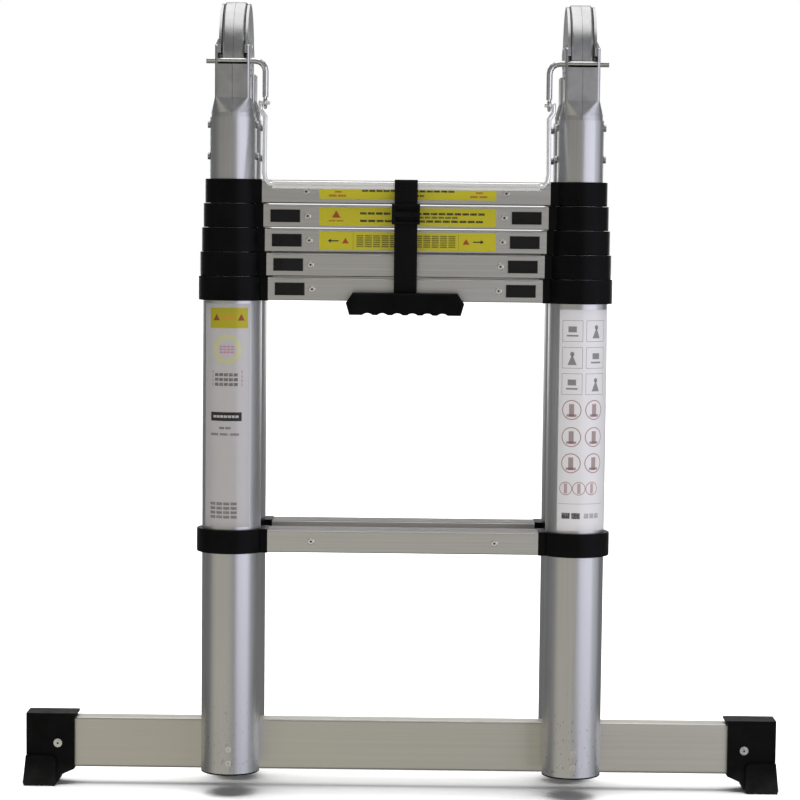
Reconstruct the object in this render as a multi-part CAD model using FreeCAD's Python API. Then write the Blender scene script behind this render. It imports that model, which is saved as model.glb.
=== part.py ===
import FreeCAD, Part
import math
import os

# Folding telescopic ladder, closed. Two halves hang from a pair of hinges at the top.
# Each half is five nested pairs of aluminium tubes, joined by rungs through plastic collars.
# Units are millimetres. Z is up, X runs along the rungs, Y runs through the folded thickness.

os.makedirs("parts", exist_ok=True)
Vec = FreeCAD.Vector

# ---- driving dimensions -------------------------------------------------------------------

STILE_X = 205.0            # half the distance between the stile centre lines
SPACING = 104.0            # front stile axis to rear stile axis, folded
TUBE_RADIUS = 35.0         # outside of the base tube
TUBE_WALL = 1.4
TUBE_GAP = 0.5             # radial air between nested tubes
STAGES = 5                 # base tube plus four sliding tubes
TUBE_FOOT = 29.0           # lower end of the base tubes above the floor
TOP_TUBE_END = 808.5       # upper end of the last tube, which the hinge arm enters

RUNG_PITCH = 300.0         # rung to rung on the extended ladder
COLLAR_PITCH = 28.6        # rung to rung on the closed ladder
COLLAR_HEIGHT = 28.2
COLLAR_BASE = 593.5        # underside of the first collar
COLLAR_WALL = 5.3
COLLAR_GRIP = 20.0         # length of tube held inside its collar
COLLAR_RUNNING = 0.35      # radial air between a collar's lip and the next tube
COLLAR_FIT = 0.05
BOSS_REACH = 2.7           # rung boss beyond the collar's round wall
BOSS_HALF_DEPTH = 20.5
LOWER_COLLAR_BASE = 294.0
LOWER_COLLAR_WALL = 6.3

RUNG_HEIGHT = 26.8
RUNG_DEPTH = 42.0
RUNG_WALL = 1.6
RUNG_RIM = 1.4             # radius of the rung's long edges
RUNG_LIFT = 0.7            # underside of a rung above the underside of its collar
RIB_HEIGHT = 0.8
RIB_WIDTH = 1.8
RIB_COUNT = 8
RIVET_RADIUS = 4.0
RIVET_HEAD = 1.3
RIVET_SHANK = 1.9
RIVET_EYE = 1.35
RIVET_FROM_END = 52.0
RIVET_SEAT = 0.02          # air under a rivet or screw head

OVERLAP = 60.0             # tube left below the lock pin hole when a stage is extended
PIN_RADIUS = 4.0
PIN_HOLE = 4.4

BUTTON_LENGTH = 35.0
BUTTON_HEIGHT = 14.8
BUTTON_PROUD = 2.7
BUTTON_FROM_END = 8.2
BUTTON_TRAVEL = 4.5
BUTTON_AIR = 0.35
THUMB_PAD = 10.0           # recessed pad at the button's outer end
THUMB_PAD_DEEP = 1.3
STEM_LENGTH = 14.0
STEM_HALF_HEIGHT = 3.0
CARRIER_LENGTH = 17.0
CARRIER_HALF_HEIGHT = 5.5
SLOT_FROM_BUTTON = 6.0
SLOT_LENGTH = 17.0
SLOT_HALF_HEIGHT = 4.0

PLUG_RIM = 2.0             # rubber below the tube end
PLUG_DEPTH = 22.0
PLUG_FIT = 0.15

BAR_HEIGHT = 61.5
BAR_DEPTH = 26.0
BAR_WALL = 2.0
BAR_HALF = 450.0
BAR_BASE = 21.8
BAR_BACK_OFF = 0.1         # bar face behind the front tubes' rear wall
BAR_CORNER = 3.0
BOLT_Z = 59.0
BOLT_RADIUS = 4.0
BOLT_HOLE = 4.1
PLUG_RIVET_Z = 42.5

FOOT_INNER = 397.0         # inner edge of a stabiliser foot
FOOT_OUTER = 455.5
FOOT_FLARE = 3.5
FOOT_WALL = 5.0
TOE_TOP = 37.0
TOE_SPREAD = 6.5           # toe beyond the cap, front and back
FOOT_SCREW_X = 417.0
FOOT_SCREW_Z = 52.0
FOOT_SCREW_RADIUS = 2.5
FOOT_SCREW_HOLE = 2.6
SOLE_GROOVES = 3
SOLE_GROOVE_WIDTH = 3.0
SOLE_GROOVE_PITCH = 9.0

HINGE_Z = 883.0            # hinge axle
DISC_RADIUS = 64.0
DISC_HALF = 13.4           # half thickness of the rear arm's double disc
DISC_WALL = 3.0
EAR_RADIUS = 62.0
EAR_INNER = 13.9
EAR_OUTER = 17.0
EAR_CUT = 42.0
CHEEK_INNER = 17.4
CHEEK_OUTER = 20.5
ARM_HALF_DEPTH = 24.0
ARM_WALL = 3.0
ARM_BOTTOM = 742.0
SEAM = 0.3
INSERT_AIR = 0.1
NECK_LOW = 814.0
NECK_HIGH = 831.0
AXLE_RADIUS = 7.95
AXLE_BORE = 8.0
AXLE_HEAD_RADIUS = 13.0
AXLE_HEAD = 3.4
CHEEK_RISE = 10.0          # top of the cheeks above the axle
REAR_BODY_DROP = 20.0      # top of the rear arm's body below the axle
ARM_RIVET_DROPS = (8.5, 45.5)      # below the end of the top tube
ARM_RIVET_SHANK = 2.2
ARM_RIVET_HOLE = 2.3
ARM_RIVET_HEAD = 4.2
CHEEK_STUD_DROPS = (9.5, 16.0)     # pressed studs on the front cheeks, below the lock pin
CHEEK_STUD_RADIUS = 2.0
CHEEK_STUD_BACK = 18.0             # behind the front face

LOCK_PIN_RADIUS = 3.5
LOCK_TRAVEL = 5.0
LOCK_FROM_AXLE = 67.5      # drawn lock pin in front of the axle
LOCK_DROP = 9.0            # lock pin below the axle
LOCK_AIR = 0.4
LEVER_X = 38.5             # lever leg from the stile axis, towards the middle
LEVER_STUB = 31.0          # pin's outer end from the stile axis
LEVER_BEND = 12.0          # radius of the bend between pin and leg
LEVER_DROP = 48.0          # eye below the lock pin
LINK_RADIUS = 2.7
EYE_RADIUS = 5.8
EYE_WIRE = 2.2

RELEASE_TOP = 734.2
RELEASE_LOW = 725.0
RELEASE_HALF_DEPTH = 3.0
RELEASE_AIR = 8.0          # release bar in front of the top rung

STRAP_HALF = 13.0
STRAP_THICK = 1.2
STRAP_AIR = 0.3            # webbing off the rung's skin
STRAP_HANG = 2.2           # webbing in front of the release bar
SLIDE_HALF = 16.5
SLIDE_LOW = 684.5
SLIDE_HIGH = 708.5
HANDLE_HALF = 69.5
HANDLE_SHOULDER = 61.5
HANDLE_DEPTH = 22.0
HANDLE_TOP = 604.5
HANDLE_LOW = 578.5
SCALLOP_COUNT = 6
SCALLOP_PITCH = 17.6
SCALLOP_RADIUS = 9.0
SCALLOP_DEEP = 2.4

# ---- dimensions worked out from them ------------------------------------------------------

STROKE = RUNG_PITCH - COLLAR_PITCH
STEP = TUBE_WALL + TUBE_GAP
LOWER_COLLAR_RADIUS = TUBE_RADIUS + LOWER_COLLAR_WALL
HANDLE_BACK = RUNG_DEPTH / 2 + 3.0
FRONT_REACH = HANDLE_BACK + HANDLE_DEPTH
# the front stiles stand where the whole folded depth is centred on Y = 0
FRONT_Y = -(SPACING + LOWER_COLLAR_RADIUS - FRONT_REACH) / 2
REAR_Y = FRONT_Y + SPACING
HINGE_Y = FRONT_Y + SPACING / 2
LOCK_Z = HINGE_Z - LOCK_DROP
EYE_Z = LOCK_Z - LEVER_DROP
LOCK_Y = HINGE_Y - LOCK_FROM_AXLE
BAR_FRONT = FRONT_Y + TUBE_RADIUS + BAR_BACK_OFF
RELEASE_Y = FRONT_Y - RUNG_DEPTH / 2 - RELEASE_AIR - RELEASE_HALF_DEPTH
STRAP_HANG_Y = RELEASE_Y - RELEASE_HALF_DEPTH - STRAP_HANG
ARM_RIVET_HEIGHTS = [TOP_TUBE_END - drop for drop in ARM_RIVET_DROPS]


def tube_radius(stage):
    return TUBE_RADIUS - STEP * (stage - 1)


def collar_radius(stage):
    return tube_radius(stage) + COLLAR_WALL


def collar_base(stage):
    return COLLAR_BASE + COLLAR_PITCH * (stage - 1)


def rung_middle(base):
    return base + RUNG_LIFT + RUNG_HEIGHT / 2


def rung_end(radius):
    return STILE_X - radius - BOSS_REACH - COLLAR_FIT


def tube_bottom(stage):
    if stage == 1:
        return TUBE_FOOT
    return rung_middle(collar_base(stage - 1)) - STROKE - OVERLAP


# ---- shape helpers ------------------------------------------------------------------------


def box(x0, x1, y0, y1, z0, z1):
    low = Vec(min(x0, x1), min(y0, y1), min(z0, z1))
    return Part.makeBox(abs(x1 - x0), abs(y1 - y0), abs(z1 - z0), low)


def upright(x, y, z0, z1, radius):
    return Part.makeCylinder(radius, z1 - z0, Vec(x, y, z0), Vec(0, 0, 1))


def across(x0, x1, y, z, radius):
    """A cylinder along X."""
    return Part.makeCylinder(radius, abs(x1 - x0), Vec(min(x0, x1), y, z), Vec(1, 0, 0))


def inward(x, y0, y1, z, radius):
    """A cylinder along Y."""
    return Part.makeCylinder(radius, abs(y1 - y0), Vec(x, min(y0, y1), z), Vec(0, 1, 0))


def sleeve(x, y, z0, z1, outer, inner):
    return upright(x, y, z0, z1, outer).cut(upright(x, y, z0 - 1, z1 + 1, inner))


def prism_x(points, x0, x1):
    """Extrude an outline of (y, z) points along X."""
    loop = [Vec(min(x0, x1), y, z) for y, z in points]
    face = Part.Face(Part.makePolygon(loop + loop[:1]))
    return face.extrude(Vec(abs(x1 - x0), 0, 0))


def prism_y(points, y0, y1):
    """Extrude an outline of (x, z) points along Y."""
    loop = [Vec(x, y0, z) for x, z in points]
    face = Part.Face(Part.makePolygon(loop + loop[:1]))
    return face.extrude(Vec(0, y1 - y0, 0))


def long_edges(shape, axis):
    """The straight edges that run along one axis."""
    found = []
    for edge in shape.Edges:
        ends = [v.Point for v in edge.Vertexes]
        if len(ends) == 2 and (ends[1] - ends[0]).normalize().cross(axis).Length < 1e-6:
            found.append(edge)
    return found


def fused(shapes):
    whole = shapes[0]
    for other in shapes[1:]:
        whole = whole.fuse(other)
    return whole.removeSplitter()


def rod(points, radius):
    """A round rod through the points, with a ball at each corner."""
    pieces = []
    for start, end in zip(points, points[1:]):
        run = end - start
        pieces.append(Part.makeCylinder(radius, run.Length, start, run))
    for corner in points[1:-1]:
        pieces.append(Part.makeSphere(radius, corner))
    return fused(pieces)


def save(name, shapes):
    """Write one node, made of one solid or of several separate ones."""
    solids = []
    for shape in shapes:
        solids.extend(shape.Solids)
    for solid in solids:
        if not solid.isValid():
            print("not valid:", name)
    whole = solids[0] if len(solids) == 1 else Part.makeCompound(solids)
    whole.exportStep("parts/" + name + ".step")
    print(name, len(solids), round(sum(s.Volume for s in solids) / 1000, 1), "cm3")


# ---- tubes, collars and rungs -------------------------------------------------------------


def stage_tube(side, y, stage):
    """One aluminium tube, with the hole its own lock pin passes and the hole it is held by."""
    radius = tube_radius(stage)
    top = TOP_TUBE_END if stage == STAGES else collar_base(stage) + COLLAR_GRIP
    x = side * STILE_X
    tube = sleeve(x, y, tube_bottom(stage), top, radius, radius - TUBE_WALL)
    if stage < STAGES:
        middle = rung_middle(collar_base(stage))
        tube = tube.cut(across(x, x - side * (radius + 5), y, middle, PIN_HOLE))
    if stage > 1:
        hold = rung_middle(collar_base(stage - 1)) - STROKE
        tube = tube.cut(across(x, x - side * (radius + 5), y, hold, PIN_HOLE))
    return tube


def top_collar(side, y, stage):
    """Collar at the top of one tube: it grips the tube, guides the next and holds the rung."""
    radius = collar_radius(stage)
    base = collar_base(stage)
    top = base + COLLAR_HEIGHT
    x = side * STILE_X
    ring = upright(x, y, base, top, radius)
    ring = ring.makeFillet(0.8, [e for e in ring.Edges if e.BoundBox.ZLength < 0.01])
    reach = radius + BOSS_REACH
    boss = box(x, x - side * reach, y - BOSS_HALF_DEPTH, y + BOSS_HALF_DEPTH, base, top)
    body = ring.fuse(boss).removeSplitter()
    body = body.cut(upright(x, y, base - 1, base + COLLAR_GRIP, tube_radius(stage) + COLLAR_FIT))
    if stage < STAGES:
        lip = tube_radius(stage + 1) + COLLAR_RUNNING
        middle = rung_middle(base)
        body = body.cut(across(x, x - side * (radius + 9), y, middle, PIN_HOLE))
    else:
        lip = tube_radius(stage) + COLLAR_FIT
    return body.cut(upright(x, y, base, top + 1, lip))


def lower_collar(side, y):
    """Plain collar that fixes the lowest rung to the base tube."""
    x = side * STILE_X
    top = LOWER_COLLAR_BASE + COLLAR_HEIGHT
    ring = upright(x, y, LOWER_COLLAR_BASE, top, LOWER_COLLAR_RADIUS)
    ring = ring.makeFillet(1.2, [e for e in ring.Edges if e.BoundBox.ZLength < 0.01])
    reach = LOWER_COLLAR_RADIUS + BOSS_REACH
    boss = box(x, x - side * reach, y - BOSS_HALF_DEPTH, y + BOSS_HALF_DEPTH, LOWER_COLLAR_BASE, top)
    body = ring.fuse(boss).removeSplitter()
    bore = upright(x, y, LOWER_COLLAR_BASE - 1, top + 1, TUBE_RADIUS + COLLAR_FIT)
    return body.cut(bore)


def rung_profile(half_length, y, base):
    """Hollow extruded rung with a ribbed tread."""
    depth = RUNG_DEPTH / 2
    top = base + RUNG_HEIGHT - RIB_HEIGHT
    body = box(-half_length, half_length, y - depth, y + depth, base, top)
    body = body.makeFillet(RUNG_RIM, long_edges(body, Vec(1, 0, 0)))
    ribs = []
    pitch = (RUNG_DEPTH - 2 * RUNG_RIM - RIB_WIDTH) / (RIB_COUNT - 1)
    for number in range(RIB_COUNT):
        low = y - depth + RUNG_RIM + pitch * number
        ribs.append(box(-half_length, half_length, low, low + RIB_WIDTH, top - 0.5, top + RIB_HEIGHT))
    body = fused([body] + ribs)
    hollow = box(
        -half_length - 1,
        half_length + 1,
        y - depth + RUNG_WALL,
        y + depth - RUNG_WALL,
        base + RUNG_WALL,
        top - RUNG_WALL,
    )
    return body.cut(hollow)


def rung(half_length, y, base, outside, with_slots):
    """A rung and its rivets. outside is -1 for a rung whose face looks towards -Y."""
    body = rung_profile(half_length, y, base)
    middle = base + RUNG_HEIGHT / 2
    face = y + outside * RUNG_DEPTH / 2
    rivets = []
    for side in (-1, 1):
        x = side * (half_length - RIVET_FROM_END)
        for out in (outside, -outside):
            skin = y + out * RUNG_DEPTH / 2
            crown = skin + out * RIVET_HEAD
            inner = skin - out * 3.0
            head = inward(x, skin, crown, middle, RIVET_RADIUS)
            rim = [e for e in head.Edges if abs(e.BoundBox.Center.y - crown) < 0.01]
            head = head.makeFillet(0.9, rim)
            rivet = head.fuse(inward(x, skin, inner, middle, RIVET_SHANK)).removeSplitter()
            hole = inward(x, skin + out * 2, inner - out, middle, RIVET_SHANK + COLLAR_FIT)
            body = body.cut(hole)
            rivets.append(rivet.cut(inward(x, skin - out, crown + out, middle, RIVET_EYE)))
        if with_slots:
            near_end = half_length - BUTTON_FROM_END - SLOT_FROM_BUTTON
            slot = box(
                side * near_end,
                side * (near_end - SLOT_LENGTH - BUTTON_TRAVEL),
                face + outside,
                face - outside * 4.0,
                middle - SLOT_HALF_HEIGHT,
                middle + SLOT_HALF_HEIGHT,
            )
            body = body.cut(slot)
    return [body] + rivets


def thumb_button(side, y, stage, outside):
    """Release button: cap on the rung's face, stem, carrier inside the rung, and lock pin."""
    end = rung_end(collar_radius(stage))
    middle = rung_middle(collar_base(stage))
    face = y + outside * RUNG_DEPTH / 2

    def at(distance):
        return side * (end - distance)

    low = face + outside * BUTTON_AIR
    high = face + outside * BUTTON_PROUD
    cap = box(
        at(BUTTON_FROM_END),
        at(BUTTON_FROM_END + BUTTON_LENGTH),
        low,
        high,
        middle - BUTTON_HEIGHT / 2,
        middle + BUTTON_HEIGHT / 2,
    )
    cap = cap.makeFillet(1.0, [e for e in cap.Edges if abs(e.BoundBox.Center.y - high) < 0.01])
    pad = box(
        at(BUTTON_FROM_END + 1.5),
        at(BUTTON_FROM_END + 1.5 + THUMB_PAD),
        high - outside * THUMB_PAD_DEEP,
        high + outside,
        middle - BUTTON_HEIGHT / 2 + 1.5,
        middle + BUTTON_HEIGHT / 2 - 1.5,
    )
    cap = cap.cut(pad)
    stem = box(
        at(BUTTON_FROM_END + 7.5),
        at(BUTTON_FROM_END + 7.5 + STEM_LENGTH),
        low + outside * 0.5,
        face - outside * 3.0,
        middle - STEM_HALF_HEIGHT,
        middle + STEM_HALF_HEIGHT,
    )
    carrier = box(
        at(BUTTON_FROM_END + 7.0),
        at(BUTTON_FROM_END + 7.0 + CARRIER_LENGTH),
        face - outside * 2.4,
        y - outside * 6.0,
        middle - CARRIER_HALF_HEIGHT,
        middle + CARRIER_HALF_HEIGHT,
    )
    tip = side * (STILE_X - tube_radius(stage) + TUBE_WALL)
    pin = across(at(BUTTON_FROM_END + 9.0), tip, y, middle, PIN_RADIUS)
    return fused([cap, stem, carrier, pin])


def foot_plug(side, y):
    """Rubber plug pressed into the lower end of a base tube."""
    x = side * STILE_X
    low = TUBE_FOOT - PLUG_RIM
    rim = upright(x, y, low, TUBE_FOOT - COLLAR_FIT, TUBE_RADIUS)
    rim = rim.makeFillet(1.2, [e for e in rim.Edges if abs(e.BoundBox.Center.z - low) < 0.01])
    inner = TUBE_RADIUS - TUBE_WALL - PLUG_FIT
    core = sleeve(x, y, TUBE_FOOT - 0.5, TUBE_FOOT + PLUG_DEPTH, inner, inner - 4.0)
    return rim.fuse(core).removeSplitter()


# ---- hinge arms ---------------------------------------------------------------------------


def neck_loop(half_x, half_y, corner, y, z):
    """A rounded rectangle of four straight edges and four arcs, level at z."""
    cut = corner * (1 - math.sqrt(0.5))
    spans = [(1, 1), (-1, 1), (-1, -1), (1, -1)]
    starts = [
        (half_x, half_y - corner),
        (-half_x + corner, half_y),
        (-half_x, -half_y + corner),
        (half_x - corner, -half_y),
    ]
    ends = [
        (half_x - corner, half_y),
        (-half_x, half_y - corner),
        (-half_x + corner, -half_y),
        (half_x, -half_y + corner),
    ]
    edges = []
    for number, (sx, sy) in enumerate(spans):
        start = Vec(starts[number][0], y + starts[number][1], z)
        end = Vec(ends[number][0], y + ends[number][1], z)
        bulge = Vec(sx * (half_x - cut), y + sy * (half_y - cut), z)
        edges.append(Part.Arc(start, bulge, end).toShape())
        following = starts[(number + 1) % 4]
        edges.append(Part.LineSegment(end, Vec(following[0], y + following[1], z)).toShape())
    return Part.Wire(edges)


def raised(loop, height):
    """Extrude a level loop upwards."""
    return Part.Face(loop).extrude(Vec(0, 0, height))


def arm_shell(y, top):
    """Round insert, neck and flat-sided body of one arm, centred on X = 0 and hollow."""
    insert = tube_radius(STAGES) - TUBE_WALL - INSERT_AIR
    bore = insert - ARM_WALL
    outside = fused([
        upright(0, y, ARM_BOTTOM, NECK_LOW, insert),
        Part.makeLoft([
            neck_loop(insert, insert, insert - 0.5, y, NECK_LOW),
            neck_loop(CHEEK_OUTER, ARM_HALF_DEPTH, 3.0, y, NECK_HIGH),
        ], True, True),
        raised(neck_loop(CHEEK_OUTER, ARM_HALF_DEPTH, 3.0, y, NECK_HIGH), top - NECK_HIGH),
    ])
    deep = ARM_HALF_DEPTH - ARM_WALL
    inside = fused([
        upright(0, y, ARM_BOTTOM - 1, NECK_LOW, bore),
        Part.makeLoft([
            neck_loop(bore, bore, bore - 0.5, y, NECK_LOW),
            neck_loop(CHEEK_INNER, deep, 1.0, y, NECK_HIGH),
        ], True, True),
        raised(neck_loop(CHEEK_INNER, deep, 1.0, y, NECK_HIGH), top + 1 - NECK_HIGH),
    ])
    return outside.cut(inside)


def disc(radius, half_from, half_to):
    """A round plate about the hinge axle, on both sides of X = 0."""
    plates = across(-half_to, half_to, HINGE_Y, HINGE_Z, radius)
    if half_from:
        plates = plates.cut(across(-half_from, half_from, HINGE_Y, HINGE_Z, radius + 1))
    return plates


def lock_slot(radius, half_width, reach_out, reach_in):
    """The straight slot that the lock pin slides in, towards the axle."""
    outer = LOCK_Y - reach_out
    inner = LOCK_Y + LOCK_TRAVEL + reach_in
    return fused([
        across(-half_width, half_width, outer, LOCK_Z, radius),
        across(-half_width, half_width, inner, LOCK_Z, radius),
        box(-half_width, half_width, outer, inner, LOCK_Z - radius, LOCK_Z + radius),
    ])


def front_arm():
    """Front arm: body, two cheeks and the two round ears that hold the axle."""
    cheek_top = HINGE_Z + CHEEK_RISE
    front_wall_top = LOCK_Z - LOCK_PIN_RADIUS - 0.6
    y0 = FRONT_Y - ARM_HALF_DEPTH
    y1 = FRONT_Y + ARM_HALF_DEPTH
    shell = arm_shell(FRONT_Y, cheek_top)
    shell = shell.cut(disc(DISC_RADIUS + 1.3, 0, CHEEK_INNER))
    shell = shell.cut(box(-CHEEK_INNER, CHEEK_INNER, y0 - 1, FRONT_Y, front_wall_top, cheek_top + 1))
    bevel = box(-CHEEK_OUTER - 1, CHEEK_OUTER + 1, y0 - 1, y0 + 4, cheek_top - 4, cheek_top + 1)
    round_off = across(-CHEEK_OUTER - 1, CHEEK_OUTER + 1, y0 + 4, cheek_top - 4, 4)
    shell = shell.cut(bevel.cut(round_off))
    ears = disc(EAR_RADIUS, EAR_INNER, EAR_OUTER)
    # the ears are cut away at the front, where the jogged cheeks stand clear of the disc
    ears = ears.cut(box(-EAR_OUTER - 1, EAR_OUTER + 1, y0, HINGE_Y - EAR_CUT, HINGE_Z - 70, HINGE_Z))
    pieces = [shell, ears]
    for side in (-1, 1):
        lug = box(side * EAR_INNER, side * EAR_OUTER, y0 + 4, y1, HINGE_Z, cheek_top)
        joggle = box(
            side * (EAR_OUTER - 1), side * CHEEK_OUTER, HINGE_Y - EAR_CUT, y1, HINGE_Z - 52, HINGE_Z
        )
        pieces.extend([lug, joggle])
        jog = [
            (side * (EAR_OUTER - 1.0), HINGE_Z),
            (side * CHEEK_OUTER, HINGE_Z),
            (side * CHEEK_OUTER, HINGE_Z + 8),
            (side * EAR_OUTER, HINGE_Z + 16),
            (side * (EAR_OUTER - 1.0), HINGE_Z + 16),
        ]
        pieces.append(prism_y(jog, y0 + 4, y1))
        for drop in CHEEK_STUD_DROPS:
            stud = across(
                side * (CHEEK_OUTER - 1),
                side * (CHEEK_OUTER + 1),
                y0 + CHEEK_STUD_BACK,
                LOCK_Z - drop,
                CHEEK_STUD_RADIUS,
            )
            pieces.append(stud)
    arm = fused(pieces)
    arm = arm.cut(across(-30, 30, HINGE_Y, HINGE_Z, AXLE_BORE))
    arm = arm.cut(lock_slot(LOCK_PIN_RADIUS + LOCK_AIR, 30, 0, 0))
    return arm.cut(box(-SEAM / 2, SEAM / 2, y0 - 60, y1 + 160, ARM_BOTTOM - 5, HINGE_Z + 90))


def disc_outline(radius, half_from, half_to, inset):
    """The rear arm's disc with the tail that runs down into its body."""
    tail_low = HINGE_Z - 70 + inset
    tail = box(-half_to, half_to, REAR_Y - 24 + inset, REAR_Y + 22 - inset, tail_low, HINGE_Z - 5)
    if half_from:
        tail = tail.cut(box(-half_from, half_from, REAR_Y - 40, REAR_Y + 40, tail_low - 1, HINGE_Z))
    return fused([disc(radius, half_from, half_to), tail])


def rear_arm():
    """Rear arm: body and the hollow double disc that turns between the front arm's ears."""
    body_top = HINGE_Z - REAR_BODY_DROP
    shell = arm_shell(REAR_Y, body_top)
    ear_room = disc(EAR_RADIUS + 1.3, DISC_HALF, CHEEK_INNER + 0.2)
    shell = shell.cut(ear_room)
    outer = disc_outline(DISC_RADIUS, 0, DISC_HALF, 0)
    circles = [e for e in outer.Edges if e.Curve.TypeId == "Part::GeomCircle"]
    rims = [e for e in circles if abs(e.Curve.Radius - DISC_RADIUS) < 0.01]
    outer = outer.makeFillet(3.5, rims)
    hollow = disc_outline(DISC_RADIUS - DISC_WALL, 0, DISC_HALF - 2.5, DISC_WALL)
    plates = outer.cut(hollow)
    boss = across(-DISC_HALF, DISC_HALF, HINGE_Y, HINGE_Z, AXLE_BORE + 5)
    arm = fused([shell, plates, boss])
    arm = arm.cut(across(-30, 30, HINGE_Y, HINGE_Z, AXLE_BORE))
    notch = lock_slot(LOCK_PIN_RADIUS + LOCK_AIR + 0.1, 30, 12, 0)
    for opened in (0, 180):
        turned = notch.copy()
        turned.rotate(Vec(0, HINGE_Y, HINGE_Z), Vec(1, 0, 0), -opened)
        arm = arm.cut(turned)
    return arm.cut(box(-SEAM / 2, SEAM / 2, HINGE_Y - 80, REAR_Y + 60, ARM_BOTTOM - 5, HINGE_Z + 90))


def arm_rivets(y):
    """Rivets that hold an arm's insert in the top tube, heads outside on both flanks."""
    heads = []
    radius = tube_radius(STAGES)
    for z in ARM_RIVET_HEIGHTS:
        for side in (-1, 1):
            rivet = fused([
                across(side * (radius - 4.0), side * (radius + 0.5), y, z, ARM_RIVET_SHANK),
                across(side * (radius + RIVET_SEAT), side * (radius + 2.6), y, z, ARM_RIVET_HEAD),
            ])
            heads.append(rivet)
    return heads


def hinge_axle():
    """Axle with a washer-faced head on each side of the ears."""
    shaft = across(-EAR_OUTER - 0.5, EAR_OUTER + 0.5, HINGE_Y, HINGE_Z, AXLE_RADIUS)
    heads = []
    for side in (-1, 1):
        outer = side * (EAR_OUTER + AXLE_HEAD)
        head = across(side * (EAR_OUTER + RIVET_SEAT), outer, HINGE_Y, HINGE_Z, AXLE_HEAD_RADIUS)
        head = head.makeFillet(1.5, [e for e in head.Edges if abs(e.BoundBox.Center.x - outer) < 0.01])
        heads.append(head)
    return fused([shaft] + heads)


def lock_lever():
    """Cranked rod: the lock pin across the arm, the leg beside it and the eye for the link."""
    path = [Vec(-LEVER_STUB, LOCK_Y, LOCK_Z)]
    for number in range(5):
        turn = math.radians(22.5 * number)
        x = LEVER_X - LEVER_BEND * (1 - math.sin(turn))
        path.append(Vec(x, LOCK_Y, LOCK_Z - LEVER_BEND * (1 - math.cos(turn))))
    path.append(Vec(LEVER_X, LOCK_Y, EYE_Z + EYE_RADIUS))
    eye = Part.makeTorus(EYE_RADIUS, EYE_WIRE, Vec(LEVER_X, LOCK_Y, EYE_Z), Vec(1, 0, 0))
    return fused([rod(path, LOCK_PIN_RADIUS), eye])


# ---- release bar, stabiliser, strap and handle --------------------------------------------


def release_bar():
    """Grooved pull bar along the top rung, with a hooked link rod up to each lock lever."""
    end = STILE_X - LEVER_X - 10.0
    front = RELEASE_Y - RELEASE_HALF_DEPTH
    bar = box(-end, end, front, RELEASE_Y + RELEASE_HALF_DEPTH, RELEASE_LOW, RELEASE_TOP)
    bar = bar.makeFillet(1.6, long_edges(bar, Vec(1, 0, 0)))
    groove = box(-end - 1, end + 1, front - 1, front + 0.8, RELEASE_LOW + 4.0, RELEASE_LOW + 5.4)
    pieces = [bar.cut(groove)]
    for side in (-1, 1):
        x = side * (STILE_X - LEVER_X)
        low = (RELEASE_LOW + RELEASE_TOP) / 2
        path = [
            Vec(x - side * 5.5, LOCK_Y, EYE_Z),
            Vec(x + side * 5.5, LOCK_Y, EYE_Z),
            Vec(x + side * 5.5, LOCK_Y - 0.5, EYE_Z - 9.0),
            Vec(x, LOCK_Y - 2.5, EYE_Z - 17.0),
            Vec(x, RELEASE_Y + 1.0, low + 14.0),
            Vec(x - side * 1.5, RELEASE_Y, low + 6.0),
            Vec(x - side * 6.0, RELEASE_Y, low + 1.0),
            Vec(x - side * 16.0, RELEASE_Y, low - 0.5),
        ]
        pieces.append(rod(path, LINK_RADIUS))
    return fused(pieces)


def stabiliser_bar():
    """Rectangular aluminium tube bolted behind the front base tubes."""
    y0 = BAR_FRONT
    y1 = y0 + BAR_DEPTH
    top = BAR_BASE + BAR_HEIGHT
    bar = box(-BAR_HALF, BAR_HALF, y0, y1, BAR_BASE, top)
    bar = bar.makeFillet(BAR_CORNER, long_edges(bar, Vec(1, 0, 0)))
    hollow = box(
        -BAR_HALF - 1,
        BAR_HALF + 1,
        y0 + BAR_WALL,
        y1 - BAR_WALL,
        BAR_BASE + BAR_WALL,
        top - BAR_WALL,
    )
    bar = bar.cut(hollow)
    for side in (-1, 1):
        bar = bar.cut(inward(side * STILE_X, y0 - 1, y0 + BAR_WALL + 1, BOLT_Z, BOLT_HOLE))
        screw_x = side * FOOT_SCREW_X
        bar = bar.cut(inward(screw_x, y0 - 1, y0 + BAR_WALL + 1, FOOT_SCREW_Z, FOOT_SCREW_HOLE))
    return bar


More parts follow.
